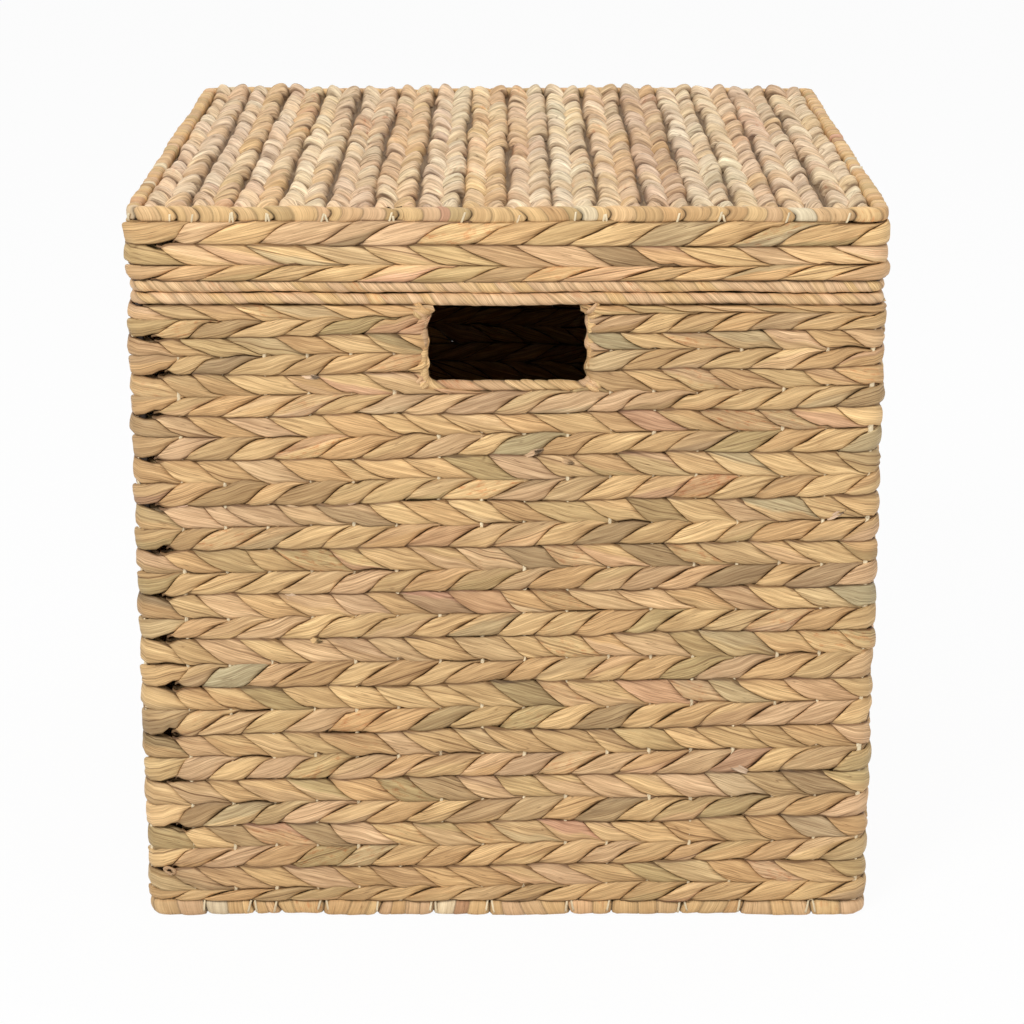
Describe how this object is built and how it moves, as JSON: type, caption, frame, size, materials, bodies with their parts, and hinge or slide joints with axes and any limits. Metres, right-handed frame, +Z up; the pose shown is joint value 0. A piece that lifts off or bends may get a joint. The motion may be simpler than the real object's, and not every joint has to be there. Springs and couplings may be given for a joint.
{
  "type": "woven storage trunk",
  "caption": "Square storage trunk of twined leaf on a wire frame, with a shallow box lid hinged at the back and a wrapped hand hole under the rim in front and back.",
  "frame": {"origin": "centre of the bounding box on the floor, under the middle of the base", "axes": "+Z up, -Y out of the front face with the hand hole that faces the viewer, +Y towards the hinges, +X to the right of a viewer in front"},
  "size_m": [0.432, 0.432, 0.432],
  "materials": {
    "twined_leaf": "dry twined leaf, matt with a faint silky sheen, straw to olive and rosy brown",
    "lid_leaf": "plump twisted leaf strands, paler cream to pink straw",
    "leaf_rope": "leaf strip wound tightly on a rod, with odd cream strands",
    "iron_rod": "dark iron wire, hidden under the leaf"
  },
  "bodies": {
    "trunk_body": {"front_wall": "twined_leaf", "back_wall": "twined_leaf", "left_wall": "twined_leaf", "right_wall": "twined_leaf", "base_mat": "twined_leaf", "base_edge_wrap": "leaf_rope", "body_rim_wrap": "leaf_rope", "base_rod": "iron_rod", "body_rim_rod": "iron_rod", "body_post_front_left": "iron_rod", "body_post_front_right": "iron_rod", "body_post_back_right": "iron_rod", "body_post_back_left": "iron_rod", "front_handle_rod": "iron_rod", "front_handle_wrap": "leaf_rope", "back_handle_rod": "iron_rod", "back_handle_wrap": "leaf_rope", "hinge_loop_left": "leaf_rope", "hinge_loop_right": "leaf_rope"},
    "lid": {"lid_front_band": "twined_leaf", "lid_back_band": "twined_leaf", "lid_left_band": "twined_leaf", "lid_right_band": "twined_leaf", "lid_mat": "lid_leaf", "lid_edge_wrap": "leaf_rope", "lid_rim_wrap": "leaf_rope", "lid_edge_rod": "iron_rod", "lid_rim_rod": "iron_rod", "lid_post_front_left": "iron_rod", "lid_post_front_right": "iron_rod", "lid_post_back_right": "iron_rod", "lid_post_back_left": "iron_rod"}
  },
  "joints": [
    {"name": "lid_hinge", "type": "hinge", "parent": "trunk_body", "child": "lid", "pos_m": [0, 0.2105, 0.38675], "axis": [-1, 0, 0], "range_deg": [0, 100]}
  ]
}
